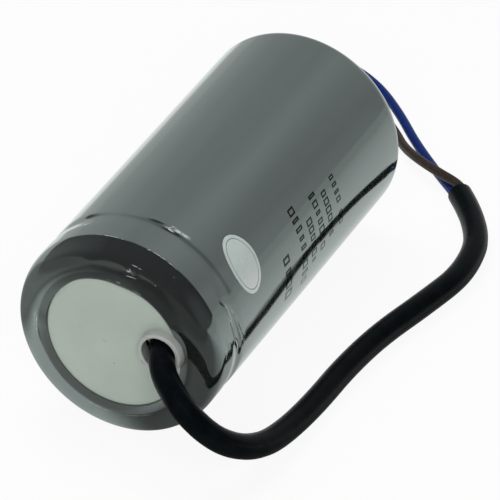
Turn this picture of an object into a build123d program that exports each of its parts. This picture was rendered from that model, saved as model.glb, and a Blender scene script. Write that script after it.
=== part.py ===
from build123d import *
import os
from math import cos, pi, radians, sin, tan

# Motor start capacitor, lying on its side.
# Row frame: +Y runs from the cover end to the base end, +Z is up, the floor is Z = 0,
# and the origin lies on the floor under the middle of the can and collar together.
# "Depth" is the distance behind the front rim, along the can's axis, in millimetres.

# ---- body over the shrink film ----
BODY_R = 25.0
BODY_LEN = 100.0
FRONT_ROUND = 3.2          # tightest part of the front rim's rounding
FRONT_EASE = 8.0           # wider radius that leads into it and out of it
FRONT_EASE_TURN = 25.0     # degrees that each of the two wider arcs turns
BACK_ROUND = 4.1

# ---- shrink film ----
FILM = 0.25
FILM_GAP = 0.05            # between the film and what it wraps
FILM_OVER_COVER = 2.2      # how far the film reaches in past the curled rim
FILM_OVER_BASE = 6.0       # how far the film turns in over the can's bottom
FILM_LAP = 1.5             # flat lap on the cover before the film climbs the curled rim
FILM_DIP = 0.4             # how far the film sinks into the bead

# ---- drawn aluminium can ----
CAN_WALL = 0.5
CAN_FLOOR = 0.8
CURL_REACH = 6.1           # how far the rim is curled in, from the film's outside
BEAD_AT = 12.6             # depth of the rolled bead's middle
BEAD_HALF = 2.4
BEAD_FLAT = 0.6            # half width of the bead's bottom
BEAD_DEPTH = 1.5
CORNER_STEPS = 3           # cones that make up each covered rounded corner

# ---- moulded end cover ----
COVER_FACE = 1.0           # depth of the cover's face
COVER_WALL = 1.8
COVER_SKIRT = 2.2
COVER_GAP = 0.1            # between the cover and the can
BOSS_GAP = 0.2             # between the cover's raised middle and the curled rim
COVER_RIBS = 8
RIB_THICK = 1.2
RIB_REACH = 4.0            # how far a rib runs in under the face
RIB_SHORT = 1.5            # how far a rib ends short of the skirt's edge
RIB_SINK = 0.2             # how far a rib runs into what carries it
COLLAR_IN = 6.4            # from the edge of the raised middle to the collar's middle
COLLAR_UP = 2.0            # height of the collar's middle above the can's axis
COLLAR_RISE = 2.7          # collar's height above the cover's face
COLLAR_CLEAR = 1.25        # between the lead's sheath and the collar's hole
COLLAR_WALL = 1.0
COLLAR_FLARE = 1.2         # how much wider the hole is at the inside
COLLAR_BEVEL = 0.15        # at the hole's mouth
COLLAR_ROOT = 0.3          # bevel where the collar meets the face
COLLAR_LIP = 0.45          # rounding of the collar's mouth

# ---- rubber ring under the curl ----
GASKET_THICK = 1.5
GASKET_GAP = 0.3           # round the cover's raised middle
SEAL_GAP = 0.05

# ---- wound element ----
ROLL_ROOM = 1.55           # filled gap between the wrapped roll and the can's wall
LEAD_ROOM = 3.2            # from the bead to the roll's front end
CONTACT = 0.6              # sprayed metal layer on each end of the roll
CONTACT_EDGE = 0.5         # bare film margin round the sprayed layer
TUBE_R = 4.0               # plastic tube that the film is wound on
TUBE_WALL = 0.8
WRAP = 0.3                 # insulating wrap round the roll
WINDING_GAP = 0.05
PAD = 0.6                  # front insulating disc
PAD_CLEAR = 1.8            # between the front disc's window and the soldered joint
BASE_PAD = 0.9
BASE_RING = 2.5            # width of the base pad's raised ring, which the roll stands on
BASE_RING_IN = 2.8         # from the roll's edge in to the raised ring

# ---- leads inside the can ----
LEAD_R = 0.5
LEAD_BEND = 1.5
LEAD_LIE = 2.6             # length of the front lead that lies on the sprayed layer
LEAD_X = -12.5             # where the front lead's joint is, beside the can's axis
LEAD_UP = 9.0              # height of the front lead's joint above the can's axis
LEAD_TURN_X = -7.0         # where the back lead turns towards the tube
LEAD_TURN_DOWN = 2.0
SOLDER_R = 2.2
SOLDER_TOP_R = 1.1
SOLDER_RISE = 1.4
BACK_SOLDER_X = 10.0
SPLICE_BROWN_X = 0.0       # middle of each splice, sideways
SPLICE_BLUE_X = -1.0
SPLICE_WALL = 0.7
SPLICE_LEN = 8.0
SPLICE_GAP = 0.45          # between the splices and the front disc
SPLICE_CLEAR = 0.05        # round what goes into a splice
SPLICE_LEAD_IN = 8.8       # a core's last straight run, up to its splice's middle

# ---- lead: sheath, cores, tips ----
CORD_R = 2.95
CORE_R = 1.15
CORE_SPREAD = 1.25         # from the sheath's middle to each core's middle
CORE_LEAN = 125.0          # degrees from level, at the free end, of the brown core's place
CORE_STRAIGHT = 2.6        # how far a core runs straight on from either end of the sheath
TIP_R = 0.55
TIP_LEN = 6.0
TIE_WIDTH = 2.5
TIE_THICK = 1.1
TIE_DEPTH = 3.0            # along the sheath, from its inner end
TIE_GAP = 0.05
TIE_HEAD = (4.0, 3.0)      # width and height of the tie's head
TIE_HEAD_RISE = 0.9        # the head's middle above the band
TIE_HEAD_OVER = 0.8        # how much longer the head is than the band is wide

# ---- oval sticker ----
LABEL_ANGLE = 57.3         # from straight up, round the body
LABEL_DEPTH = 23.4
LABEL_HALF_LEN = 5.0       # along the axis
LABEL_HALF_ARC = 7.25      # round the body
LABEL_THICK = 0.08
LABEL_GAP = 0.01

CUT_OVER = 1.0             # how far a cutting shape runs past what it cuts

# The lead's route: sideways, depth behind the front rim, height above the floor.
SHEATH_POINTS = [
    (9.9, 7.2, 28.0), (12.9, -3.6, 27.4), (20.9, -9.8, 22.3), (28.2, -9.0, 15.2),
    (32.7, -4.0, 9.9), (35.4, 4.0, 6.0), (36.4, 14.0, 3.9), (37.1, 27.0, 2.95),
    (37.4, 42.0, 2.95), (39.2, 57.0, 2.95), (43.2, 72.5, 2.95), (46.6, 88.5, 2.95),
    (42.8, 105.8, 2.95), (32.2, 117.0, 2.95),
]
BLUE_FREE = [
    (24.0, 124.0, 1.2), (12.8, 134.4, 1.2), (3.6, 144.8, 1.2), (-6.5, 154.0, 1.2),
    (-18.0, 159.6, 1.2), (-28.0, 160.2, 1.2),
]
BROWN_FREE = [
    (24.2, 121.4, 4.4), (17.6, 124.8, 4.0), (11.4, 130.2, 2.4), (6.0, 137.0, 1.2),
    (-2.0, 144.6, 1.2), (-12.0, 148.8, 1.2), (-22.0, 148.2, 1.2),
]

# ---- values that follow ----
MOUTH = COVER_FACE - COLLAR_RISE                 # depth of the collar's mouth
RIM_Y = -(BODY_LEN + MOUTH) / 2
EASE_TURN = radians(FRONT_EASE_TURN)
EASE_SHIFT = FRONT_EASE - FRONT_ROUND
FRONT_REACH = FRONT_ROUND + EASE_SHIFT * (1 + sin(EASE_TURN) - cos(EASE_TURN))
CAN_INSET = FILM + FILM_GAP
BORE_INSET = CAN_INSET + CAN_WALL
FLOOR_IN = BODY_LEN - CAN_INSET - CAN_FLOOR      # depth of the can's bottom, inside
BEAD_START = BEAD_AT - BEAD_HALF
BEAD_END = BEAD_AT + BEAD_HALF
CURL_R = BODY_R - CURL_REACH                     # inner edge of the curled rim
WINDOW_R = CURL_R - FILM_OVER_COVER              # the film's opening over the end cover
BACK_WINDOW_R = BODY_R - FILM_OVER_BASE          # the film's opening over the can's bottom
COVER_BOSS_R = CURL_R - BOSS_GAP
SKIRT_IN_R = BODY_R - BORE_INSET - COVER_GAP - COVER_SKIRT
GASKET_IN_R = COVER_BOSS_R + GASKET_GAP
GASKET_TOP = BORE_INSET + SEAL_GAP
GASKET_BACK = GASKET_TOP + GASKET_THICK
COVER_FLANGE = GASKET_BACK + SEAL_GAP
COVER_INSIDE = COVER_FACE + COVER_WALL
SKIRT_END = BEAD_START - SEAL_GAP
COLLAR_X = COVER_BOSS_R - COLLAR_IN
COLLAR_HOLE_R = CORD_R + COLLAR_CLEAR
COLLAR_R = COLLAR_HOLE_R + COLLAR_WALL
WRAP_R = BODY_R - BORE_INSET - ROLL_ROOM         # outside of the wrapped roll
WINDING_R = WRAP_R - WRAP - WINDING_GAP
WINDING_FRONT = BEAD_END + LEAD_ROOM
BASE_PAD_FRONT = FLOOR_IN - WINDING_GAP - BASE_PAD
CONTACT_FRONT = WINDING_FRONT - CONTACT
CONTACT_BACK = BASE_PAD_FRONT - COVER_GAP - SOLDER_RISE
WINDING_BACK = CONTACT_BACK - CONTACT
BACK_LEAD_DEPTH = CONTACT_BACK + LEAD_R
FRONT_PAD_BACK = CONTACT_FRONT - WINDING_GAP
SPLICE_R = CORE_R + SPLICE_CLEAR + SPLICE_WALL
SPLICE_AT = FRONT_PAD_BACK - PAD - SPLICE_GAP - SPLICE_R

# Turned pieces are drawn about Z with depth along Z, then laid down on their side.
LAID = Plane(origin=(0, RIM_Y, BODY_R), x_dir=(1, 0, 0), z_dir=(0, 1, 0))


def laid(solid):
    """Take a piece from the drawing position to its place in the row."""
    return LAID.location * solid


def at(x, depth, height):
    """A point of the row, from its depth behind the rim and its height above the floor."""
    return Vector(x, RIM_Y + depth, height)


def turned(section):
    """Turn a half section, drawn in the XZ plane, about the can's axis."""
    return revolve(section, axis=Axis.Z)


def ring(inner, outer, front, back):
    """A plain ring or disc between two depths."""
    section = Plane.XZ * Pos((inner + outer) / 2, (front + back) / 2) * Rectangle(
        outer - inner, back - front)
    return turned(section)


# ---- can and film -------------------------------------------------------------------------

def arc_point(centre, radius, angle):
    """A point of a circle, with its angle in degrees."""
    return (centre[0] + radius * cos(radians(angle)), centre[1] + radius * sin(radians(angle)))


def front_arcs(inset):
    """The three arcs of the front rim's rounding: centre, radius, start and turn of each."""
    flat_end = (BODY_R - FRONT_REACH, FRONT_EASE)
    tight = (flat_end[0] + EASE_SHIFT * sin(EASE_TURN), FRONT_EASE - EASE_SHIFT * cos(EASE_TURN))
    side_end = (BODY_R - FRONT_EASE, FRONT_REACH)
    turn = FRONT_EASE_TURN
    return [
        (flat_end, FRONT_EASE - inset, -90, turn),
        (tight, FRONT_ROUND - inset, turn - 90, 90 - 2 * turn),
        (side_end, FRONT_EASE - inset, -turn, turn)]


def film_line():
    """The film's outer line, from the front flat to the bottom flat."""
    back = BODY_LEN - BACK_ROUND
    return [
        *[CenterArc(*arc) for arc in front_arcs(0)],
        Line((BODY_R, FRONT_REACH), (BODY_R, BEAD_START)),
        ThreePointArc((BODY_R, BEAD_START), (BODY_R - FILM_DIP, BEAD_AT), (BODY_R, BEAD_END)),
        Line((BODY_R, BEAD_END), (BODY_R, back)),
        CenterArc((BODY_R - BACK_ROUND, back), BACK_ROUND, 0, 90)]


def covered_line(inset, dip):
    """The same line further in, for surfaces that are covered. The bead is dip deep.

    Its rounded corners are a few straight steps, which turn into cones.
    """
    side = BODY_R - inset
    back = BODY_LEN - BACK_ROUND
    front_corner = [arc_point(centre, radius, angle)
                    for centre, radius, angle, _ in front_arcs(inset)]
    back_corner = [arc_point((BODY_R - BACK_ROUND, back), BACK_ROUND - inset, 90 * i / CORNER_STEPS)
                   for i in range(1, CORNER_STEPS + 1)]
    line = Polyline(
        *front_corner, (side, FRONT_REACH), (side, BEAD_START),
        (side - dip, BEAD_AT - BEAD_FLAT), (side - dip, BEAD_AT + BEAD_FLAT), (side, BEAD_END),
        (side, back), *back_corner)
    return line.edges()


def shell_section(outer, outer_inset, inner, inner_inset, front_end, back_r):
    """Half section of a thin shell between two body lines.

    front_end lists the points from the outer line's front flat round to the inner line's.
    """
    flat_front = BODY_R - FRONT_REACH
    flat_back = BODY_R - BACK_ROUND
    front = Polyline((flat_front, outer_inset), *front_end, (flat_front, inner_inset))
    back = Polyline(
        (flat_back, BODY_LEN - outer_inset), (back_r, BODY_LEN - outer_inset),
        (back_r, BODY_LEN - inner_inset), (flat_back, BODY_LEN - inner_inset))
    return Plane.XZ * make_face([*outer, *inner, *front.edges(), *back.edges()])


def make_sleeve():
    """Shrink film, turned over both ends and cut round the collar."""
    lap_r = WINDOW_R + FILM_LAP
    lap_out = COVER_FACE - FILM_GAP - FILM
    climb_r = lap_r + lap_out
    front_end = [
        (climb_r, 0), (lap_r, lap_out), (WINDOW_R, lap_out), (WINDOW_R, lap_out + FILM),
        (lap_r, lap_out + FILM), (climb_r, FILM)]
    film = turned(shell_section(
        film_line(), 0, covered_line(FILM, FILM_DIP), FILM, front_end, BACK_WINDOW_R))
    notch = Cylinder(COLLAR_R + COLLAR_ROOT, 2 * (COVER_FACE + CUT_OVER))
    return laid(film - Pos(COLLAR_X, -COLLAR_UP, 0) * notch)


def make_can():
    """Drawn can with its bead rolled in and its mouth curled over the cover."""
    front_end = [(CURL_R, CAN_INSET), (CURL_R, BORE_INSET)]
    wall = turned(shell_section(
        covered_line(CAN_INSET, BEAD_DEPTH), CAN_INSET, covered_line(BORE_INSET, BEAD_DEPTH),
        BORE_INSET, front_end, BACK_WINDOW_R))
    bottom = ring(0, BACK_WINDOW_R, FLOOR_IN, BODY_LEN - CAN_INSET)
    thicker = inside_can(0) & ring(0, BODY_R, FLOOR_IN, BODY_LEN - BORE_INSET)
    return laid(wall + bottom + thicker)


def inside_can(gap):
    """The room inside the can, less a gap, for pieces that are shaped by it."""
    inset = BORE_INSET + gap
    ends = Polyline(
        (BODY_R - BACK_ROUND, BODY_LEN - inset), (0, BODY_LEN - inset), (0, inset),
        (BODY_R - FRONT_REACH, inset))
    return turned(Plane.XZ * make_face([*covered_line(inset, BEAD_DEPTH), *ends.edges()]))


# ---- cover and seals ----------------------------------------------------------------------

def make_end_cover():
    """Moulded cover: face, gasket seat, skirt on the bead, ribs and the cord collar."""
    step_r = COVER_BOSS_R - COVER_WALL
    step_in = COVER_FLANGE + COVER_WALL
    section = make_face(Polyline(
        (0, COVER_FACE), (COVER_BOSS_R, COVER_FACE), (COVER_BOSS_R, COVER_FLANGE),
        (BODY_R, COVER_FLANGE), (BODY_R, SKIRT_END), (SKIRT_IN_R, SKIRT_END),
        (SKIRT_IN_R, step_in), (step_r, step_in), (step_r, COVER_INSIDE), (0, COVER_INSIDE),
        (0, COVER_FACE)))
    cover = turned(Plane.XZ * section) & inside_can(COVER_GAP)

    rib_start = (step_r - RIB_REACH, COVER_INSIDE - RIB_SINK)
    rib = Plane.XZ * make_face(Polyline(
        rib_start, (SKIRT_IN_R + RIB_SINK, rib_start[1]),
        (SKIRT_IN_R + RIB_SINK, SKIRT_END - RIB_SHORT), rib_start))
    rib = extrude(rib, RIB_THICK / 2, both=True)
    for i in range(COVER_RIBS):
        cover += Rot(0, 0, (i + 0.5) * 360 / COVER_RIBS) * rib

    root = (COLLAR_R, COVER_FACE - COLLAR_ROOT)
    collar = make_face(
        FilletPolyline((0, MOUTH), (COLLAR_R, MOUTH), root, radius=COLLAR_LIP).edges()
        + Polyline(
            root, (COLLAR_R + COLLAR_ROOT, COVER_FACE), (COLLAR_R + COLLAR_ROOT, COVER_INSIDE),
            (0, COVER_INSIDE), (0, MOUTH)).edges())
    collar_at = Pos(COLLAR_X, -COLLAR_UP, 0)
    cover += collar_at * turned(Plane.XZ * collar) & ring(0, COVER_BOSS_R, MOUTH, COVER_INSIDE)
    hole = make_face(Polyline(
        (0, MOUTH - CUT_OVER), (COLLAR_HOLE_R + COLLAR_BEVEL + CUT_OVER, MOUTH - CUT_OVER),
        (COLLAR_HOLE_R, MOUTH + COLLAR_BEVEL), (COLLAR_HOLE_R + COLLAR_FLARE, COVER_INSIDE),
        (COLLAR_HOLE_R + COLLAR_FLARE, SKIRT_END), (0, SKIRT_END), (0, MOUTH - CUT_OVER)))
    return laid(cover - collar_at * turned(Plane.XZ * hole))


def make_gasket():
    """Rubber ring, squeezed to the shape of the curl above it."""
    room = inside_can(SEAL_GAP)
    return laid(room & ring(GASKET_IN_R, BODY_R, GASKET_TOP, GASKET_BACK))


# ---- wound element ------------------------------------------------------------------------

def make_winding():
    """The roll of metallised film, all its turns as one solid."""
    return laid(ring(TUBE_R + WINDING_GAP, WINDING_R, WINDING_FRONT, WINDING_BACK))


def make_winding_tube():
    return laid(ring(TUBE_R - TUBE_WALL, TUBE_R, CONTACT_FRONT, CONTACT_BACK))


def make_wrap():
    """Insulating wrap round the roll and its sprayed ends."""
    return laid(ring(WRAP_R - WRAP, WRAP_R, CONTACT_FRONT, CONTACT_BACK))


def make_contact(front):
    """Sprayed metal layer on one end of the roll."""
    return laid(ring(TUBE_R + WINDING_GAP, WINDING_R - CONTACT_EDGE, front, front + CONTACT))


def make_front_pad():
    """Insulating disc over the front contact, open at the tube and at the soldered joint."""
    pad = ring(TUBE_R, WRAP_R, FRONT_PAD_BACK - PAD, FRONT_PAD_BACK)
    window = Cylinder(SOLDER_R + PAD_CLEAR, 2 * (PAD + CUT_OVER))
    return laid(pad - Pos(LEAD_X, -LEAD_UP, FRONT_PAD_BACK) * window)


def make_base_pad():
    """Pad on the can's bottom, with a raised ring that holds the roll off the soldered joint."""
    pad = inside_can(COVER_GAP) & ring(0, BODY_R, BASE_PAD_FRONT, BASE_PAD_FRONT + BASE_PAD)
    ring_r = WINDING_R - BASE_RING_IN
    raised = ring(ring_r - BASE_RING, ring_r, CONTACT_BACK + WINDING_GAP, BASE_PAD_FRONT)
    return laid(pad + raised)


# ---- routes -------------------------------------------------------------------------------

def bend_radii(points):
    """The largest easy radius at each corner of a route."""
    radii = []
    for before, corner, after in zip(points, points[1:], points[2:]):
        run_in = corner - before
        run_out = after - corner
        half_turn = radians(run_in.get_angle(run_out)) / 2
        radii.append(0.45 * min(run_in.length, run_out.length) / tan(half_turn))
    return radii


def route_length(points, radii):
    """Length along the straight runs and the arcs that join them."""
    length = sum((b - a).length for a, b in zip(points, points[1:]))
    for before, corner, after, bend in zip(points, points[1:], points[2:], radii):
        turn = radians((corner - before).get_angle(after - corner))
        length += bend * (turn - 2 * tan(turn / 2))
    return length


def swept(points, radii, radius):
    """A round rod along straight runs joined by tangent arcs."""
    way = (points[1] - points[0]).normalized()
    plane = Plane(origin=points[0], z_dir=way)
    pieces = []
    for corner, after, bend in zip(points[1:], points[2:], radii):
        next_way = (after - corner).normalized()
        turn = way.get_angle(next_way)
        hinge = way.cross(next_way).normalized()
        reach = bend * tan(radians(turn) / 2)
        start = corner - way * reach
        pieces.append(extrude(plane * Circle(radius), (start - plane.origin).length))
        plane = Plane(origin=start, x_dir=plane.x_dir, z_dir=way)
        axis = Axis(start + hinge.cross(way) * bend, hinge)
        pieces.append(revolve(plane * Circle(radius), axis=axis, revolution_arc=turn))
        plane = Plane(
            origin=corner + next_way * reach, x_dir=plane.x_dir.rotate(axis, turn),
            z_dir=next_way)
        way = next_way
    pieces.append(extrude(plane * Circle(radius), (points[-1] - plane.origin).length))
    return pieces[0].fuse(*pieces[1:])


def rod(start, end, radius):
    """A straight round rod between two points."""
    way = end - start
    plane = Plane(origin=start, z_dir=way)
    return extrude(plane * Circle(radius), way.length)


sheath_route = [at(*p) for p in SHEATH_POINTS]


def core_route(end, before, lean, further):
    """One core's corners, from its place in an end face of the sheath outwards.

    end is the sheath's end point, before the point next to it, and lean the angle of the core's
    place in that face, from level.
    """
    way = (end - before).normalized()
    level = Vector(0, 0, 1).cross(way).normalized()
    upright = way.cross(level)
    start = end + (level * cos(radians(lean)) + upright * sin(radians(lean))) * CORE_SPREAD
    return [start, start + way * CORE_STRAIGHT, *further]


# ---- lead ---------------------------------------------------------------------------------

def make_tie():
    """Nylon tie closed round the sheath behind the cover, which stops the lead pulling out."""
    start = sheath_route[0]
    way = (sheath_route[1] - start).normalized()
    plane = Plane(origin=start + way * TIE_DEPTH, z_dir=way)
    inner = CORD_R + TIE_GAP
    band = extrude(plane * (Circle(inner + TIE_THICK) - Circle(inner)), -TIE_WIDTH)
    length = TIE_WIDTH + TIE_HEAD_OVER
    head_at = plane * Pos(0, inner + TIE_THICK + TIE_HEAD_RISE)
    head = extrude(head_at * Rectangle(*TIE_HEAD), -length)
    keep_out = extrude(plane * Circle(inner), -length - CUT_OVER)
    return band + (head - keep_out)


def make_splice(end, way):
    """Closed-barrel splice: a core's end in one side, the bare lead in the other."""
    plane = Plane(origin=end - way * (SPLICE_LEN / 2), z_dir=way)
    body = extrude(plane * Circle(SPLICE_R), SPLICE_LEN)
    core_bore = extrude(plane * Circle(CORE_R + SPLICE_CLEAR), SPLICE_LEN / 2)
    lead_bore = extrude(plane * Circle(LEAD_R + SPLICE_CLEAR), SPLICE_LEN)
    return body - core_bore - lead_bore


def make_tip(points):
    """Stripped and tinned end of a core."""
    way = (points[-1] - points[-2]).normalized()
    return rod(points[-1], points[-1] + way * TIP_LEN, TIP_R)


def make_solder(x, up, depth, direction, lead):
    """A low cone of solder over a bare lead's end. direction is the way it rises."""
    cone = Cone(SOLDER_R, SOLDER_TOP_R, SOLDER_RISE)
    if direction < 0:
        cone = Rot(180, 0, 0) * cone
    return laid(Pos(x, -up, depth + direction * SOLDER_RISE / 2) * cone) - lead


def make_label():
    """Oval sticker, wrapped on the film."""
    inner = BODY_R + LABEL_GAP
    length = 2 * (LABEL_HALF_LEN + CUT_OVER)
    wrap = Cylinder(inner + LABEL_THICK, length) - Cylinder(inner, length)
    outline = extrude(Plane.XZ * Ellipse(LABEL_HALF_ARC, LABEL_HALF_LEN), BODY_R + CUT_OVER)
    label = Pos(0, 0, LABEL_DEPTH) * (wrap & outline)
    return laid(Rot(0, 0, LABEL_ANGLE) * label)


# ---- build --------------------------------------------------------------------------------

def build():
    inward = Vector(-1, 0, 0)
    brown_end = at(SPLICE_BROWN_X, SPLICE_AT, BODY_R + LEAD_UP)
    blue_end = at(SPLICE_BLUE_X, SPLICE_AT, BODY_R - LEAD_UP)
    run_in = inward * SPLICE_LEAD_IN
    inner_end, next_in = sheath_route[:2]
    free_end, next_out = sheath_route[:-3:-1]
    routes = {
        "cord_sheath": sheath_route,
        "core_blue": core_route(
            free_end, next_out, CORE_LEAN + 180, [at(*p) for p in BLUE_FREE]),
        "core_brown": core_route(free_end, next_out, CORE_LEAN, [at(*p) for p in BROWN_FREE]),
        "core_blue_inner": core_route(
            inner_end, next_in, -90, [blue_end - run_in, blue_end]),
        "core_brown_inner": core_route(
            inner_end, next_in, 90, [brown_end - run_in, brown_end]),
    }
    cords = {}
    for name, route in routes.items():
        radii = bend_radii(route)
        radius = CORD_R if name == "cord_sheath" else CORE_R
        cords[name] = swept(route, radii, radius)
        length = route_length(route, radii)
        print(name, "length", round(length, 1), "radii", [round(r, 1) for r in radii])
        print("  section x length", round(pi * radius ** 2 * length, 1))

    lead_lie = CONTACT_FRONT - LEAD_R
    run_out = inward * SPLICE_LEN
    front_route = [
        brown_end, brown_end + run_out, at(LEAD_X + LEAD_LIE, lead_lie, BODY_R + LEAD_UP),
        at(LEAD_X, lead_lie, BODY_R + LEAD_UP)]
    back_route = [
        blue_end, blue_end + run_out, at(LEAD_TURN_X, SPLICE_AT, BODY_R - LEAD_TURN_DOWN),
        at(0, SPLICE_AT, BODY_R), at(0, BACK_LEAD_DEPTH, BODY_R),
        at(BACK_SOLDER_X, BACK_LEAD_DEPTH, BODY_R)]
    lead_front = swept(front_route, [LEAD_BEND] * (len(front_route) - 2), LEAD_R)
    lead_back = swept(back_route, [LEAD_BEND] * (len(back_route) - 2), LEAD_R)

    pieces = {
        "sleeve": make_sleeve(),
        "can": make_can(),
        "end_cover": make_end_cover(),
        "gasket": make_gasket(),
        "winding": make_winding(),
        "winding_tube": make_winding_tube(),
        "winding_wrap": make_wrap(),
        "contact_front": make_contact(CONTACT_FRONT),
        "contact_back": make_contact(WINDING_BACK),
        "front_pad": make_front_pad(),
        "base_pad": make_base_pad(),
        **cords,
        "cord_tie": make_tie(),
        "tip_blue": make_tip(routes["core_blue"]),
        "tip_brown": make_tip(routes["core_brown"]),
        "splice_blue": make_splice(blue_end, inward),
        "splice_brown": make_splice(brown_end, inward),
        "lead_front": lead_front,
        "lead_back": lead_back,
        "solder_front": make_solder(LEAD_X, LEAD_UP, CONTACT_FRONT, -1, lead_front),
        "solder_back": make_solder(BACK_SOLDER_X, 0, CONTACT_BACK, 1, lead_back),
        "oval_label": make_label(),
    }
    return pieces


os.makedirs("parts", exist_ok=True)
for node, solid in build().items():
    solid.label = node
    export_step(solid, f"parts/{node}.step")
    print(node, "volume", round(solid.volume, 1))
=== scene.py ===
from math import acos, cos, exp, hypot, pi, radians, sin, sqrt

import bpy
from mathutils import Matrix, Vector


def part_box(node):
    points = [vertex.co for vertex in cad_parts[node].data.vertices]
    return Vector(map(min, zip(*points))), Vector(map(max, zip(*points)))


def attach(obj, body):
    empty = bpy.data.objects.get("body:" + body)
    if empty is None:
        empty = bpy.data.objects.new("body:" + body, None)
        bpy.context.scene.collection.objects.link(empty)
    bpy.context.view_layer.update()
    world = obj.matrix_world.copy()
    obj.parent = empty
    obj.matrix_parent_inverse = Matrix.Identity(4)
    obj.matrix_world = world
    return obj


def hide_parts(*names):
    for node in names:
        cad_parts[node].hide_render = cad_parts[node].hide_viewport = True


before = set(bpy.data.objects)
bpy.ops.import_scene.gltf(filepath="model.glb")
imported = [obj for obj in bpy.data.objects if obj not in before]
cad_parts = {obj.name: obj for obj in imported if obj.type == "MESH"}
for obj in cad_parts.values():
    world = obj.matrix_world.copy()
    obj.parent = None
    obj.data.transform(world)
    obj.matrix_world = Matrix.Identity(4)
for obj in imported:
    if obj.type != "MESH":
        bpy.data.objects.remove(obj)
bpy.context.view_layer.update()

# ---- sizes of the object, in metres -------------------------------------------------------

can_low, can_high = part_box("sleeve")
BODY_R = (can_high.x - can_low.x) / 2
BODY_LEN = can_high.y - can_low.y
RIM_Y = can_low.y
MM = 0.001
FRONT_ROUND = 3.2 * MM        # tightest part of the front rim's rounding
FRONT_EASE = 8.0 * MM         # wider radius that leads into it and out of it
EASE_TURN = radians(25)
EASE_SHIFT = FRONT_EASE - FRONT_ROUND
FRONT_REACH = FRONT_ROUND + EASE_SHIFT * (1 + sin(EASE_TURN) - cos(EASE_TURN))
BACK_ROUND = 4.1 * MM
FILM = 0.25 * MM              # thickness
WINDOW_R = 16.7 * MM          # the film's opening over the end cover
LAP_R = 18.8 * MM             # inside this radius the film sinks towards the cover
LAP_BEND = 0.45 * MM          # how gently it starts to sink
LAP_SLOPE = 0.30              # how fast it sinks at the sides and the bottom
LAP_FLATTER = 0.88            # the share of that slope that is missing along the top
BACK_WINDOW_R = 19.0 * MM     # the film's opening over the can's bottom
BEAD_AT = 12.6 * MM           # depth of the bead's middle
BEAD_HALF = 3.2 * MM
BEAD_DIP = 0.35 * MM          # the film's dip into the bead, less along the top
BEAD_DIP_TOP = 0.08 * MM
FINE_END = 20 * MM            # the film's mesh is fine as far as this depth
COLLAR_X = 12.3 * MM
COLLAR_UP = 2.0 * MM
COLLAR_R = 5.2 * MM
HOLE_R = 3.7 * MM             # the hole through the collar
NOTCH_R = 5.5 * MM            # the film is cut this far from the collar's middle
SHEATH_D = 5.9 * MM
SHEATH_LENGTH = 0.1677
CORE_D = 2.3 * MM
BLUE_LENGTH = 0.0762
BROWN_LENGTH = 0.0657
CORE_SPREAD = 1.25 * MM       # from the sheath's middle to a core's, where the cores come out
CORE_LEAN = radians(125)
CORE_STRAIGHT = 2.6 * MM      # a core's straight run out of the sheath
LABEL_AT = (radians(57.3), 23.4)     # angle from straight up, and depth in millimetres
LABEL_HALF = (7.25, 5.0)             # half its size round the can and along it, in millimetres
LABEL_LINE_IN = 0.9                  # from the label's edge to its printed line, in millimetres

# The lead's route: sideways, depth behind the front rim, height above the floor, all in
# millimetres.
SHEATH_POINTS = [
    (9.9, 7.2, 28.0), (12.9, -3.6, 27.4), (20.9, -9.8, 22.3), (28.2, -9.0, 15.2),
    (32.7, -4.0, 9.9), (35.4, 4.0, 6.0), (36.4, 14.0, 3.9), (37.1, 27.0, 2.95),
    (37.4, 42.0, 2.95), (39.2, 57.0, 2.95), (43.2, 72.5, 2.95), (46.6, 88.5, 2.95),
    (42.8, 105.8, 2.95), (32.2, 117.0, 2.95),
]
BLUE_FREE = [
    (24.0, 124.0, 1.2), (12.8, 134.4, 1.2), (3.6, 144.8, 1.2), (-6.5, 154.0, 1.2),
    (-18.0, 159.6, 1.2), (-28.0, 160.2, 1.2),
]
BROWN_FREE = [
    (24.2, 121.4, 4.4), (17.6, 124.8, 4.0), (11.4, 130.2, 2.4), (6.0, 137.0, 1.2),
    (-2.0, 144.6, 1.2), (-12.0, 148.8, 1.2), (-22.0, 148.2, 1.2),
]


def at(x, depth, height):
    """A point of the frame from sideways, depth behind the rim and height, in millimetres."""
    return Vector((x * MM, RIM_Y + depth * MM, height * MM))


def on_body(angle, depth, radius=BODY_R):
    """A point round the can: angle from straight up towards +X, depth behind the rim."""
    return Vector((radius * sin(angle), RIM_Y + depth, BODY_R + radius * cos(angle)))


# ---- camera -------------------------------------------------------------------------------

CAMERA_AT = (0.4213, -0.83715, 0.6765)
CAMERA_AHEAD = Vector((-0.36118, 0.73481, -0.57411))
SENSOR, LENS = 36, 360


def make_camera():
    """The photo's view."""
    camera = bpy.data.objects.new("camera", bpy.data.cameras.new("camera"))
    camera.data.sensor_width = SENSOR
    camera.data.lens = LENS
    camera.location = CAMERA_AT
    camera.rotation_euler = CAMERA_AHEAD.to_track_quat("-Z", "Y").to_euler()
    bpy.context.scene.collection.objects.link(camera)
    bpy.context.scene.camera = camera


# ---- lead ---------------------------------------------------------------------------------

def make_cord(name, points, diameter):
    """A smooth round cord that follows a route."""
    curve = bpy.data.curves.new(name, "CURVE")
    curve.dimensions = "3D"
    curve.bevel_depth = diameter / 2
    curve.bevel_resolution = 8
    curve.resolution_u = 12
    curve.use_fill_caps = True
    spline = curve.splines.new("NURBS")
    spline.points.add(len(points) - 1)
    for point, place in zip(spline.points, points):
        point.co = (*place, 1)
    spline.order_u = 3
    spline.use_endpoint_u = True
    cord = bpy.data.objects.new(name, curve)
    bpy.context.scene.collection.objects.link(cord)
    return cord


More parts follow.
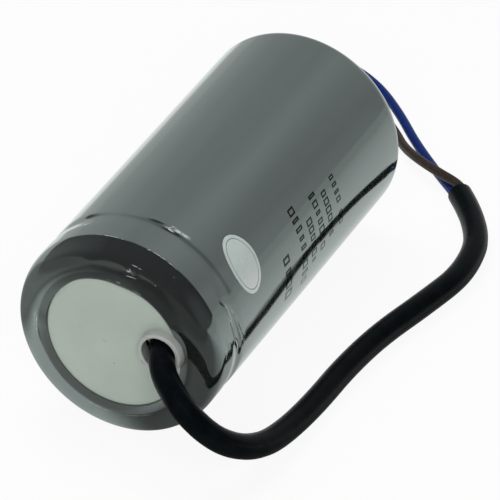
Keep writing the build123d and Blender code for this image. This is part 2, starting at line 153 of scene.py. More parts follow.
def core_start(side):
    """Where a core leaves the sheath's end face, and the end of its first straight run."""
    end, before = sheath_points[-1], sheath_points[-2]
    way = (end - before).normalized()
    level = Vector((0, 0, 1)).cross(way).normalized()
    upright = way.cross(level)
    start = end + (level * cos(CORE_LEAN) + upright * sin(CORE_LEAN)) * (side * CORE_SPREAD)
    return [start, start + way * CORE_STRAIGHT]


make_camera()
sheath_points = [at(*p) for p in SHEATH_POINTS]
blue_points = core_start(-1) + [at(*p) for p in BLUE_FREE]
brown_points = core_start(1) + [at(*p) for p in BROWN_FREE]
sheath = make_cord("lead_sheath", sheath_points, SHEATH_D)
blue = make_cord("lead_core_blue", blue_points, CORE_D)
brown = make_cord("lead_core_brown", brown_points, CORE_D)


# ---- materials ----------------------------------------------------------------------------

class Nodes:
    """Short calls for building one material's nodes."""

    def __init__(self, name):
        self.material = bpy.data.materials.new(name)
        self.material.use_nodes = True
        self.tree = self.material.node_tree
        self.shader = self.tree.nodes["Principled BSDF"]
        self.place = self.add("ShaderNodeTexCoord").outputs["Object"]

    def add(self, kind, **inputs):
        """A node with some of its inputs set or linked."""
        node = self.tree.nodes.new(kind)
        for key, value in inputs.items():
            self.put(node.inputs[key.replace("_", " ")], value)
        return node

    def put(self, socket, value):
        """Links a socket, or sets a plain value."""
        if isinstance(value, bpy.types.NodeSocket):
            self.tree.links.new(value, socket)
        else:
            socket.default_value = value

    def math(self, operation, *values):
        node = self.tree.nodes.new("ShaderNodeMath")
        node.operation = operation
        for i, value in enumerate(values):
            self.put(node.inputs[i], value)
        return node.outputs[0]

    def axes(self):
        split = self.add("ShaderNodeSeparateXYZ", Vector=self.place)
        return split.outputs[0], split.outputs[1], split.outputs[2]

    def noise(self, scale, detail, stretch=(1, 1, 1)):
        moved = self.add("ShaderNodeMapping", Vector=self.place, Scale=stretch)
        node = self.add(
            "ShaderNodeTexNoise", Vector=moved.outputs[0], Scale=scale, Detail=detail)
        return node.outputs["Fac"]

    def ramp(self, factor, low, high, start=0.0, end=1.0):
        return self.stops(factor, [(start, low), (end, high)])

    def stops(self, factor, stops):
        """A colour ramp through several places, each with its colour."""
        node = self.add("ShaderNodeValToRGB", Fac=factor)
        ramp = node.color_ramp
        for _ in stops[2:]:
            ramp.elements.new(0.5)
        for element, (place, colour) in zip(ramp.elements, stops):
            element.position, element.color = place, (*colour, 1)
        return node.outputs["Color"]

    def span(self, value, low, high, out_low=0.0, out_high=1.0):
        node = self.add("ShaderNodeMapRange")
        for i, entry in enumerate((value, low, high, out_low, out_high)):
            self.put(node.inputs[i], entry)
        return node.outputs[0]

    def ease(self, value, low, high, out_low=0.0, out_high=1.0):
        """Like span, but smooth at both ends. low may be above high."""
        turned = low > high
        if turned:
            low, high, out_low, out_high = high, low, out_high, out_low
        node = self.span(value, low, high, out_low, out_high).node
        node.interpolation_type = "SMOOTHSTEP"
        return node.outputs[0]

    def blend(self, factor, below, above):
        node = self.tree.nodes.new("ShaderNodeMix")
        node.data_type = "RGBA"
        self.put(node.inputs[0], factor)
        for i, value in ((6, below), (7, above)):
            self.put(node.inputs[i], value if isinstance(value, bpy.types.NodeSocket)
                     else (*value, 1))
        return node.outputs[2]

    def specks(self, scale, size, share):
        """Sparse round specks: 1 inside a speck, 0 outside."""
        cells = self.add("ShaderNodeTexVoronoi", Vector=self.place, Scale=scale)
        chosen = self.add("ShaderNodeSeparateXYZ", Vector=cells.outputs["Color"])
        near = self.span(cells.outputs["Distance"], size * 0.6, size, 1, 0)
        return self.math("MULTIPLY", near, self.math("LESS_THAN", chosen.outputs[0], share))

    def distance(self, across, above):
        """Distance from two offsets at right angles."""
        return self.math("SQRT", self.math("ADD", self.math("MULTIPLY", across, across),
                                           self.math("MULTIPLY", above, above)))

    def round_body(self):
        """Distance round the can from straight up, depth behind the rim, and radius, in mm."""
        x, y, z = self.axes()
        up = self.math("SUBTRACT", z, BODY_R)
        turn = self.math("ARCTAN2", x, up)
        return (self.math("MULTIPLY", turn, BODY_R / MM),
                self.math("DIVIDE", self.math("SUBTRACT", y, RIM_Y), MM),
                self.math("DIVIDE", self.distance(x, up), MM))

    def bump(self, height, strength, distance):
        node = self.add("ShaderNodeBump", Height=height, Strength=strength, Distance=distance)
        self.set(Normal=node.outputs[0])

    def mix(self, factor, below, above):
        """One shader over another."""
        node = self.add("ShaderNodeMixShader", Fac=factor)
        self.put(node.inputs[1], below)
        self.put(node.inputs[2], above)
        return node.outputs[0]

    def set(self, **inputs):
        """Sets or links inputs of the material's own shader."""
        for key, value in inputs.items():
            self.put(self.shader.inputs[key.replace("_", " ")], value)


MIDDLE = (0.3, 0.7)           # the part of a noise's range that its values mostly keep to


def shaded(name, colour, vary=0.08, scale=400.0, roughness=0.5, rough_vary=0.06, metallic=0.0,
           bump=0.1, bump_scale=1500.0, bump_height=0.05 * MM, stretch=(1, 1, 1), specular=0.5):
    """A material whose colour, gloss and surface all vary a little, as real ones do."""
    n = Nodes(name)
    low = [c * (1 - vary) for c in colour]
    high = [min(c * (1 + vary), 1) for c in colour]
    n.set(Base_Color=n.ramp(n.noise(scale, 4, stretch), low, high, *MIDDLE))
    n.set(Roughness=n.span(n.noise(scale * 2.3, 3, stretch), *MIDDLE, roughness - rough_vary,
                           roughness + rough_vary))
    n.set(Metallic=metallic, Specular_IOR_Level=specular)
    n.bump(n.noise(bump_scale, 5, stretch), bump, bump_height)
    return n.material


def in_box(n, across, along, wide, tall):
    """1 inside a rectangle about the origin, 0 outside. wide and tall are half its size."""
    sideways = n.math("DIVIDE", n.math("ABSOLUTE", across), wide)
    upright = n.math("DIVIDE", n.math("ABSOLUTE", along), tall)
    return n.math("LESS_THAN", n.math("MAXIMUM", sideways, upright), 1.0)


# The rows of print: depth, the angles in degrees from straight up at which the row starts and
# ends, half the height of its tallest box, and the boxes' pitch. Lengths in millimetres.
PRINT_ROWS = (
    (38.3, 73, 113, 1.9, 3.0), (46.7, 56, 106, 1.55, 2.3), (51.4, 69, 101, 1.3, 2.0),
    (55.9, 54, 97, 1.5, 2.2), (60.4, 59, 101, 1.3, 2.1), (65.5, 61, 93, 1.1, 1.9))
BOX_WIDE = (0.20, 0.44)       # half a box's width, as a share of the pitch
BOX_TALL = 0.7                # the lowest box's height, as a share of the tallest
BOX_LINE = 0.20               # width of a box's outline, as a share of the pitch
BOX_OPEN = 0.58               # height of a box's inside, as a share of the box
BLANKS = 0.1                  # share of the places that stay empty
NEXT_ROW = 37.0               # keeps the rows' random values apart


def print_rows(n, arc, depth):
    """Rows of small bars and outlined boxes, in the place of the print."""
    ink = 0.0
    for row, (at_depth, start, end, half, pitch) in enumerate(PRINT_ROWS):
        along = n.math("DIVIDE", n.math("SUBTRACT", arc, radians(start) * BODY_R / MM), pitch)
        pick = n.add("ShaderNodeTexWhiteNoise")
        pick.noise_dimensions = "1D"
        n.put(pick.inputs["W"], n.math("ADD", n.math("FLOOR", along), row * NEXT_ROW))
        value = pick.outputs["Value"]
        other_value = n.math("FRACT", n.math("MULTIPLY", value, 7.3))
        wide = n.span(value, 0, 1, *BOX_WIDE)
        tall = n.span(other_value, 0, 1, half * BOX_TALL, half)
        across = n.math("SUBTRACT", n.math("FRACT", along), 0.5)
        off = n.math("SUBTRACT", depth, at_depth)
        inner = in_box(n, across, off, n.math("SUBTRACT", wide, BOX_LINE),
                       n.math("MULTIPLY", tall, BOX_OPEN))
        cells = int(radians(end - start) * BODY_R / MM / pitch)
        shape = in_box(n, across, off, wide, tall)
        for part in (n.math("SUBTRACT", 1.0, inner), n.math("GREATER_THAN", value, BLANKS),
                     n.math("GREATER_THAN", along, 0.0), n.math("LESS_THAN", along, cells)):
            shape = n.math("MULTIPLY", shape, part)
        ink = n.math("MAXIMUM", ink, shape)
    return ink


# Painted highlights on the film's wrinkles, as fine light lines: both ends, distance round the
# can and depth or radius in millimetres, and half the line's width.
BODY_HIGHLIGHT_LINES = (
    (5.6, 14.7, 8.9, 14.3, 0.22), (6.9, 16.0, 8.6, 15.8, 0.12), (7.4, 15.3, 12.6, 15.5, 0.42),
    (6.6, 14.2, 7.6, 16.0, 0.12), (27.0, 10.9, 34.6, 11.2, 0.10), (37.0, 7.0, 40.5, 6.3, 0.14),
    (35.5, 11.0, 42.6, 10.6, 0.10), (37.3, 16.3, 42.4, 15.1, 0.07),
    (-16.5, 9.3, -10.5, 10.8, 0.20), (35.4, 13.0, 41.0, 14.9, 0.07),
    (-7.0, 5.35, 2.6, 5.3, 0.07), (6.4, 5.5, 15.5, 5.3, 0.08), (6.2, 5.1, 7.4, 5.6, 0.10))
RIM_HIGHLIGHT_LINES = (
    (4.9, 22.9, 8.4, 22.9, 0.07), (3.9, 20.9, 6.3, 21.5, 0.16), (4.9, 22.0, 6.9, 20.6, 0.14),
    (4.2, 19.9, 8.2, 20.5, 0.08), (3.7, 21.4, 5.5, 21.2, 0.10), (12.8, 21.8, 13.1, 21.8, 0.20),
    (-1.8, 17.15, 0.4, 17.1, 0.06), (1.6, 17.2, 3.6, 17.2, 0.08), (-9.0, 17.2, -6.0, 17.2, 0.04),
    (7.0, 17.1, 12.0, 17.1, 0.03), (-44, 19.05, -36, 18.9, 0.07), (-42, 19.5, -35, 19.35, 0.05),
    (64, 18.95, 77, 18.9, 0.05), (-78, 18.9, -68, 19.0, 0.05))


def painted_highlight_lines(n, arc, other, painted_highlights):
    """1 on the painted highlight lines, 0 elsewhere."""
    light = 0.0
    for start_arc, start, end_arc, end, half in painted_highlights:
        long = hypot(end_arc - start_arc, end - start)
        way, rise = (end_arc - start_arc) / long, (end - start) / long
        across = n.math("SUBTRACT", arc, (start_arc + end_arc) / 2)
        above = n.math("SUBTRACT", other, (start + end) / 2)
        along = n.math("ADD", n.math("MULTIPLY", across, way), n.math("MULTIPLY", above, rise))
        off = n.math("SUBTRACT", n.math("MULTIPLY", above, way), n.math("MULTIPLY", across, rise))
        line = n.math("MULTIPLY", n.ease(n.math("ABSOLUTE", along), long / 2, long / 5),
                      n.ease(n.math("ABSOLUTE", off), half * 1.5, half * 0.5))
        light = n.math("MAXIMUM", light, line)
    return light


FILM_GREY = ((0.300, 0.338, 0.332), (0.335, 0.373, 0.367))
INK = (0.018, 0.024, 0.024)
# colour of the painted highlights along the wrinkles
PAINTED_WRINKLE_HIGHLIGHT = (0.64, 0.67, 0.65)
# colour of the painted shade on parts of the lap
LAP_PAINTED_SHADE = (0.16, 0.18, 0.175)
DUST = (0.60, 0.64, 0.62)
FILM_METAL, LAP_METAL = 0.95, 0.66
# Places on the film, in millimetres: depth, radius, and distance round the can from straight
# up. Where there are two, the first is where something starts and the second where it is full.
RIM_DEPTH = 4.5               # the rim's painted highlight lines end here
LAP_RADIUS = (18.9, 18.3)
LAP_DEPTH = 2.0
LAP_SHADE_LEFT = ((-42, -36), (8, -6))      # the parts of the lap with painted shade, at both their ends
LAP_SHADE_RIGHT = ((30, 38), (50, 45))
LAP_TOP = 1.7
COVER_OFF_TOP = (28, 37)      # the lap lies on the cover this far round from LAP_TOP


def make_film_material():
    """Mirror-like grey shrink film with print, dust, painted wrinkle highlights and painted lap
    shade.
    """
    n = Nodes("film_grey")
    arc, depth, radius = n.round_body()
    streaks = n.noise(110, 3, (1, 0.08, 1))
    grey = n.ramp(streaks, *FILM_GREY, 0.35, 0.65)
    printed = n.blend(print_rows(n, arc, depth), grey, INK)
    on_rim = n.math("LESS_THAN", depth, RIM_DEPTH)
    ragged = n.span(n.noise(900, 3, (1, 0.6, 1)), 0.35, 0.6)
    # Painted highlights: light, non-metal strips along the wrinkles.
    painted_highlights = n.math("ADD", n.math("MULTIPLY", on_rim, painted_highlight_lines(n, arc, radius, RIM_HIGHLIGHT_LINES)),
                   painted_highlight_lines(n, arc, depth, BODY_HIGHLIGHT_LINES))
    painted_highlights = n.math("MULTIPLY", painted_highlights, ragged)
    marked = n.blend(painted_highlights, printed, PAINTED_WRINKLE_HIGHLIGHT)
    dust = n.specks(80, 0.028, 0.22)

    # The lap over the cover has painted shade at the upper left and on the right, and shows less
    # of what it reflects wherever it lies on the cover.
    lap = n.math("MULTIPLY", n.ease(radius, *LAP_RADIUS), n.math("LESS_THAN", depth, LAP_DEPTH))
    left, right = (n.math("MULTIPLY", n.ease(arc, *start), n.ease(arc, *end))
                   for start, end in (LAP_SHADE_LEFT, LAP_SHADE_RIGHT))
    lap_shade = n.math("MULTIPLY", lap, n.math("ADD", left, right))
    marked = n.blend(lap_shade, marked, LAP_PAINTED_SHADE)
    off_top = n.math("ABSOLUTE", n.math("SUBTRACT", arc, LAP_TOP))
    on_cover = n.math("MULTIPLY", lap, n.ease(off_top, *COVER_OFF_TOP))
    metal = n.span(on_cover, 0, 1, FILM_METAL, LAP_METAL)

    n.set(Base_Color=n.blend(dust, marked, DUST))
    n.set(Metallic=n.math("MULTIPLY", metal, n.math("SUBTRACT", 1.0, painted_highlights)))
    fine = n.span(n.noise(260, 4), 0.3, 0.75, 0.05, 0.11)
    n.set(Roughness=n.math("ADD", fine, n.math("MULTIPLY", dust, 0.4)))
    n.bump(n.noise(70, 2, (1, 0.6, 1)), 0.10, 0.3 * MM)
    return n.material


COVER_FACE = ((0.545, 0.630, 0.550), (0.592, 0.675, 0.594))
COVER_COLLAR = ((0.545, 0.575, 0.55), (0.60, 0.63, 0.60))
# painted shade on the hole's wall
HOLE_PAINTED_SHADE = (0.16, 0.145, 0.12)
# colour of the painted shadow along the film's edge
FILM_EDGE_SHADOW = (0.07, 0.08, 0.075)
# Small marks on the face: place from the can's middle and half the size, both sideways and up
# and in millimetres, and colour.
COVER_MARKS = (
    (7.2, -2.9, 0.35, 1.1, (0.42, 0.36, 0.20)), (6.9, -3.2, 0.22, 0.3, (0.10, 0.09, 0.06)),
    (-0.1, -6.0, 0.24, 0.16, (0.14, 0.14, 0.12)), (-8.5, 1.9, 0.5, 0.3, (0.50, 0.54, 0.48)),
    (-2.4, -0.6, 0.9, 0.5, (0.52, 0.56, 0.50)))


def make_cover_material():
    """Off-white moulded plastic: a greenish face with small marks, and a cleaner collar. Painted
    shade darkens the hole, and a painted shadow lies along the film's edge.
    """
    n = Nodes("cover_white")
    x, _, z = n.axes()
    off = n.distance(n.math("SUBTRACT", x, COLLAR_X),
                     n.math("SUBTRACT", z, BODY_R + COLLAR_UP))
    face = n.ramp(n.noise(90, 4), *COVER_FACE, *MIDDLE)
    collar = n.ramp(n.noise(300, 3), *COVER_COLLAR, *MIDDLE)
    on_collar = n.span(off, COLLAR_R + 0.1 * MM, COLLAR_R + 0.5 * MM, 1, 0)
    colour = n.blend(on_collar, face, collar)
    # Painted shade darkens the hole's wall.
    hole_shade = n.span(off, HOLE_R + 0.1 * MM, HOLE_R + 0.3 * MM, 1, 0)
    colour = n.blend(hole_shade, colour, HOLE_PAINTED_SHADE)
    for spot_x, spot_up, wide, long, tint in COVER_MARKS:
        across = n.math("DIVIDE", n.math("SUBTRACT", x, spot_x * MM), wide * MM)
        above = n.math("DIVIDE", n.math("SUBTRACT", z, BODY_R + spot_up * MM), long * MM)
        rough_edge = n.math("ADD", n.distance(across, above), n.noise(1500, 2))
        colour = n.blend(n.span(rough_edge, 0.7, 1.5, 0.85, 0), colour, tint)
    from_middle = n.distance(x, n.math("SUBTRACT", z, BODY_R))
    # A painted shadow: a dark ring on the face just inside the film's edge, kept off the collar.
    film_edge_shadow = n.math("MULTIPLY", n.span(from_middle, WINDOW_R - 0.20 * MM, WINDOW_R, 0, 0.85),
                        n.span(off, COLLAR_R, COLLAR_R + 1.5 * MM))
    n.set(Base_Color=n.blend(film_edge_shadow, colour, FILM_EDGE_SHADOW))
    n.set(Roughness=n.span(n.noise(500, 4), *MIDDLE, 0.42, 0.56))
    n.bump(n.noise(2600, 5), 0.15, 0.04 * MM)
    return n.material


LABEL_SILVER = ((0.70, 0.79, 0.765), (0.75, 0.84, 0.81))
LABEL_LOWER = (0.93, 0.97, 0.95)
LABEL_LINE = (0.20, 0.24, 0.23)
LABEL_LINE_HALF = 0.017       # half the line's width, as a share of the oval's size


def make_label_material():
    """Silvery sticker, lighter at the bottom, with a thin printed oval inside its edge."""
    n = Nodes("label_silver")
    arc, depth, _ = n.round_body()
    middle = LABEL_AT[0] * BODY_R / MM
    half_round, half_along = (half - LABEL_LINE_IN for half in LABEL_HALF)
    across = n.math("DIVIDE", n.math("SUBTRACT", arc, middle), half_round)
    along = n.math("DIVIDE", n.math("SUBTRACT", depth, LABEL_AT[1]), half_along)
    off_line = n.math("ABSOLUTE", n.math("SUBTRACT", n.distance(across, along), 1.0))
    line = n.math("LESS_THAN", off_line, LABEL_LINE_HALF)
    silver = n.ramp(n.noise(700, 3), *LABEL_SILVER, *MIDDLE)
    lower = n.ease(arc, middle, middle + LABEL_HALF[0])
    silver = n.blend(lower, silver, LABEL_LOWER)
    n.set(Base_Color=n.blend(line, silver, LABEL_LINE), Metallic=0.10)
    n.set(Roughness=n.span(n.noise(600, 3), *MIDDLE, 0.18, 0.28))
    n.bump(n.noise(900, 3), 0.08, 0.03 * MM)
    return n.material


ALUMINIUM = ((0.74, 0.75, 0.76), (0.82, 0.83, 0.84))
RINGS = 2.4                   # fine rings to a millimetre, about


def make_can_material():
    """Drawn aluminium, with fine rings in its bottom."""
    n = Nodes("can_metal")
    rings = n.add("ShaderNodeTexNoise", Scale=1.0, Detail=4.0)
    rings.noise_dimensions = "1D"
    n.put(rings.inputs["W"], n.math("MULTIPLY", n.round_body()[2], RINGS))
    fine = rings.outputs["Fac"]
    n.set(Base_Color=n.blend(n.span(n.noise(120, 4), 0.35, 0.65), *ALUMINIUM), Metallic=1.0)
    n.set(Roughness=n.span(fine, *MIDDLE, 0.28, 0.42))
    n.bump(fine, 0.12, 0.05 * MM)
    return n.material


# ---- film ---------------------------------------------------------------------------------

def new_mesh(name, verts, faces, smooth=True):
    """A mesh object in the scene."""
    mesh = bpy.data.meshes.new(name)
    mesh.from_pydata([tuple(v) for v in verts], [], faces)
    mesh.validate()
    mesh.update()
    if smooth:
        mesh.shade_smooth()
    piece = bpy.data.objects.new(name, mesh)
    bpy.context.scene.collection.objects.link(piece)
    return piece


def near(angle, middle, wide):
    """A smooth hump round one angle. The middle and the half width are in degrees."""
    return exp(-((angle - radians(middle)) / radians(wide)) ** 2)


def plateau(angle, middle, half, soft):
    """1 within half of the middle and 0 beyond, with a soft edge. All but angle in degrees."""
    return 1 / (1 + exp((abs(angle - radians(middle)) - radians(half)) / radians(soft)))


def film_edge(angle):
    """The film's inner edge over the cover, which is cut round the collar."""
    collar_out = hypot(COLLAR_X, COLLAR_UP)
    off = angle - acos(COLLAR_UP / collar_out)
    across = collar_out * sin(off)
    window = WINDOW_R - 0.45 * MM * near(angle, 9, 13) + 0.2 * MM * near(angle, -30, 12)
    if cos(off) < 0 or abs(across) > NOTCH_R:
        return window
    return max(window, collar_out * cos(off) + sqrt(NOTCH_R ** 2 - across ** 2))


# Small folds beside the bead: angle, depth, turn, half width, half length and height, with
# angles in degrees and the rest in millimetres.
BODY_FOLDS = (
    (68, 10.6, 78, 0.45, 2.6, 0.16), (74, 12.4, 70, 0.5, 3.2, 0.22),
    (80, 11.2, 80, 0.5, 3.0, -0.20), (84, 13.6, 72, 0.5, 3.4, 0.24),
    (89, 11.8, 66, 0.5, 3.0, 0.20), (93, 14.0, 84, 0.6, 3.0, 0.16),
    (84, 8.2, 60, 0.5, 2.2, 0.10), (88, 6.4, 40, 0.5, 1.8, 0.08), (18, 14.6, 84, 0.4, 1.6, 0.04),
    (9, 15.6, 87, 0.5, 2.2, 0.03), (-12, 3.8, 20, 0.3, 0.5, 0.05))
# Wrinkles on the rim's front: angle, radius, half width, half height and how far they stand
# out, with angles in degrees and the rest in millimetres.
RIM_FOLDS = (
    (9.6, 21.4, 0.45, 0.30, 0.05), (13.0, 21.3, 0.35, 0.28, 0.06), (17.0, 21.4, 0.5, 0.25, 0.05),
    (29.2, 21.8, 0.22, 0.22, 0.06), (-80.5, 19.1, 2.2, 0.35, 0.05),
    (-100.0, 19.0, 2.6, 0.35, 0.05), (-15.0, 20.8, 3.0, 0.8, 0.10))


def body_fold(angle, depth):
    """How far the folds beside the bead lift the film."""
    lift = 0.0
    for middle, at_depth, turn, wide, long, high in BODY_FOLDS:
        round_it = (angle - radians(middle)) * BODY_R / MM
        back = depth / MM - at_depth
        turn = radians(turn)
        across = round_it * cos(turn) - back * sin(turn)
        length = round_it * sin(turn) + back * cos(turn)
        lift += high * exp(-(across / wide) ** 2 - (length / long) ** 2)
    return lift * MM


def rim_fold(angle, radius):
    """How far small wrinkles lift the film on the front of the rim."""
    lift = 0.0
    for middle, out, wide, tall, high in RIM_FOLDS:
        across = (angle - radians(middle)) * out
        lift += high * exp(-(across / wide) ** 2 - ((radius / MM - out) / tall) ** 2)
    return lift * MM


def lap_depth(angle, radius):
    """Depth of the film's front inside the rim. It stands off the cover at the top."""
    slope = LAP_SLOPE * (1 - LAP_FLATTER * plateau(angle, 4, 72, 7))
    inside = LAP_R - radius
    return slope * (hypot(inside, LAP_BEND) + inside) / 2


def front_rounding():
    """Points of the three arcs that turn the front flat into the side."""
    arcs = (                  # centre, radius, first and last angle, steps
        (BODY_R - FRONT_REACH, FRONT_EASE, FRONT_EASE, 0, EASE_TURN, 12),
        (BODY_R - FRONT_REACH + EASE_SHIFT * sin(EASE_TURN),
         FRONT_EASE - EASE_SHIFT * cos(EASE_TURN), FRONT_ROUND, EASE_TURN, pi / 2 - EASE_TURN, 10),
        (BODY_R - FRONT_EASE, FRONT_REACH, FRONT_EASE, pi / 2 - EASE_TURN, pi / 2, 10))
    points = []
    for middle_r, middle_depth, radius, start, end, steps in arcs:
        for i in range(1, steps + 1):
            turn = start + (end - start) * i / steps
            points.append((middle_r + radius * sin(turn), middle_depth - radius * cos(turn)))
    return points


ROUNDING = front_rounding()
# Steps of the film's line over the bead, along the body, round the back and across the end.
BEAD_STEPS, BODY_STEPS, BACK_STEPS, END_STEPS = 56, 12, 12, 3
# Steps round the can, from one angle in degrees to the next: finer where there are folds.
TURN_STEPS = ((-180, -5, 130), (-5, 34, 65), (34, 62, 22), (62, 100, 76), (100, 180, 54))


def film_profile(angle):
    """Points across the film's outside at one angle, as (radius, depth)."""
    edge = film_edge(angle)
    flat_end = BODY_R - FRONT_REACH
    points = [(r, lap_depth(angle, r)) for r in (
        *(edge + (LAP_R - 0.3 * MM - edge) * i / 7 for i in range(8)),
        *(LAP_R + 0.1 * MM * i for i in range(-2, 5)), flat_end)]
    points += ROUNDING
    points = [(r, depth - rim_fold(angle, r)) for r, depth in points]
    full_dip = BEAD_DIP + (BEAD_DIP_TOP - BEAD_DIP) * plateau(angle, 24, 54, 4)
    for i in range(1, BEAD_STEPS + 1):
        depth = FRONT_REACH + (FINE_END - FRONT_REACH) * i / BEAD_STEPS
        off = (depth - BEAD_AT) / BEAD_HALF
        dip = full_dip * (1 + cos(pi * off)) / 2 if abs(off) < 1 else 0
        points.append((BODY_R - dip + body_fold(angle, depth), depth))
    back = BODY_LEN - BACK_ROUND
    for i in range(1, BODY_STEPS + 1):
        points.append((BODY_R, FINE_END + (back - FINE_END) * i / BODY_STEPS))
    for i in range(1, BACK_STEPS + 1):
        turn = pi / 2 * i / BACK_STEPS
        points.append(
            (BODY_R - BACK_ROUND * (1 - cos(turn)), back + BACK_ROUND * sin(turn)))
    flat_start = BODY_R - BACK_ROUND
    for i in range(1, END_STEPS + 1):
        points.append((flat_start - (flat_start - BACK_WINDOW_R) * i / END_STEPS, BODY_LEN))
    return points


def inside_of(points):
    """A coarser line one film's thickness further in, from the last point back to the first."""
    inner = []
    last = len(points) - 1
    for i in [*range(0, last, 3), last]:
        before, after = points[max(i - 1, 0)], points[min(i + 1, last)]
        out, back = after[0] - before[0], after[1] - before[1]
        long = hypot(out, back) or 1
        radius, depth = points[i]
        inner.append((radius - back / long * FILM, depth + out / long * FILM))
    return inner[::-1]


def film_angles():
    """Angles round the can, closer together where the film has its folds."""
    angles = []
    for start, end, steps in TURN_STEPS:
        angles += [radians(start + (end - start) * i / steps) for i in range(steps)]
    return angles


def make_film():
    """The shrink film, as one closed skin turned over both ends."""
    verts, faces = [], []
    angles = film_angles()
    for angle in angles:
        outside = film_profile(angle)
        loop = outside + inside_of(outside)
        verts += [on_body(angle, depth, radius) for radius, depth in loop]
    count = len(verts) // len(angles)
    for s in range(len(angles)):
        here, there = s * count, (s + 1) % len(angles) * count
        for i in range(count):
            j = (i + 1) % count
            faces.append((here + i, there + i, there + j, here + j))
    return new_mesh("film_skin", verts, faces)


# ---- assembling the looks -----------------------------------------------------------------

def wear(piece, material):
    """Gives a piece one material."""
    piece.data.materials.clear()
    piece.data.materials.append(material)


film = make_film()
wear(film, make_film_material())
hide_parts("sleeve")
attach(film, "root")

blue_pvc = shaded("core_blue", (0.010, 0.030, 0.18), vary=0.12, scale=500, roughness=0.34,
                  specular=0.18)
brown_pvc = shaded("core_brown", (0.042, 0.030, 0.024), vary=0.14, scale=500, roughness=0.38,
                   specular=0.22)
tinned = shaded("tinned_copper", (0.72, 0.66, 0.58), vary=0.12, scale=2500, roughness=0.32,
                metallic=1.0, bump=0.5, bump_scale=4000, stretch=(1, 6, 6))
solder = shaded("solder", (0.62, 0.63, 0.64), vary=0.10, scale=1600, roughness=0.30,
                metallic=1.0, bump=0.3, bump_scale=2200)
sprayed_zinc = shaded("sprayed_zinc", (0.50, 0.51, 0.52), vary=0.14, scale=3000,
                      roughness=0.62, metallic=0.9, bump=0.7, bump_scale=5200)
rolled_film = shaded("rolled_film", (0.66, 0.68, 0.70), vary=0.10, scale=900, roughness=0.30,
                     metallic=0.9, bump=0.2, bump_scale=2500, stretch=(1, 0.1, 1))
wrap_tape = shaded("wrap_tape", (0.62, 0.48, 0.16), vary=0.08, scale=500, roughness=0.34,
                   bump=0.2, bump_scale=900, stretch=(1, 0.3, 1))
fibre_board = shaded("fibre_board", (0.30, 0.27, 0.20), vary=0.12, scale=2600, roughness=0.75,
                     bump=0.4, bump_scale=4200)
tube_plastic = shaded("tube_plastic", (0.70, 0.70, 0.64), vary=0.04, scale=600, roughness=0.48)
seal_rubber = shaded("seal_rubber", (0.020, 0.020, 0.021), vary=0.20, scale=900,
                     roughness=0.70, bump=0.3, bump_scale=3000)
tie_nylon = shaded("tie_nylon", (0.66, 0.64, 0.54), vary=0.05, scale=500, roughness=0.42)
sheath_black = shaded("sheath_black", (0.0034, 0.0052, 0.0062), vary=0.30, scale=260,
                      roughness=0.29, rough_vary=0.05, bump=0.2, bump_scale=1600,
                      bump_height=0.04 * MM, specular=0.12)

node_materials = {
    "end_cover": make_cover_material(), "can": make_can_material(),
    "oval_label": make_label_material(), "gasket": seal_rubber, "winding": rolled_film,
    "winding_tube": tube_plastic, "winding_wrap": wrap_tape, "contact_front": sprayed_zinc,
    "contact_back": sprayed_zinc, "front_pad": fibre_board, "base_pad": fibre_board,
    "cord_tie": tie_nylon, "core_blue_inner": blue_pvc, "core_brown_inner": brown_pvc,
    "splice_blue": tinned, "splice_brown": tinned, "lead_front": tinned, "lead_back": tinned,
    "solder_front": solder, "solder_back": solder, "tip_blue": tinned, "tip_brown": tinned}
for name, material in node_materials.items():
    wear(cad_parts[name], material)

for piece, node, slot, material, points, length, diameter, tips in (
        (sheath, "cord_sheath", "sheath_black", sheath_black, sheath_points, SHEATH_LENGTH,
         SHEATH_D, []),
        (blue, "core_blue", "core_blue", blue_pvc, blue_points, BLUE_LENGTH, CORE_D,
         ["tip_blue"]),
        (brown, "core_brown", "core_brown", brown_pvc, brown_points, BROWN_LENGTH, CORE_D,
         ["tip_brown"])):
    wear(piece, material)
    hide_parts(node)
    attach(piece, "root")


# ---- floor and light ----------------------------------------------------------------------

FLOOR_HALF = 3
PAPER = ((0.86, 0.86, 0.86), (0.9, 0.9, 0.9))
SEEN_WHITE = 0.92             # share of plain white in what the camera sees of the floor
FLOOR_GLOW = (0.95, 1, 0.975, 1)
# The lead on the floor: the frame's y, and the x of its middle there.
LEAD_LINE = ((-0.035, 0.0364), (-0.007, 0.0374), (0.008, 0.0392), (0.023, 0.0432),
             (0.039, 0.0466), (0.055, 0.0428), (0.068, 0.034))
LEAD_ENDS = (-0.035, 0.070)
LEAD_SHADOW_AT = 0.0040              # the painted shadow's middle, outward from the lead's
LEAD_SHADOW_HALF = (0.0056, 0.0046)  # half its width, where it starts and where it is full
LEAD_SHADOW_LEVEL = 0.42
# How bright the floor is in reflections beyond the object: place sideways, and level.
BEYOND_REACH = 0.25
BEYOND_LEVELS = ((-0.25, 0.56), (-0.128, 0.57), (-0.100, 0.95), (-0.03, 1.0), (0.02, 0.76),
                 (0.07, 0.66), (0.11, 0.56), (0.25, 0.42))


def place_stops(low, high, levels):
    """Grey stops from places between low and high."""
    return [((place - low) / (high - low), (level, level, level)) for place, level in levels]


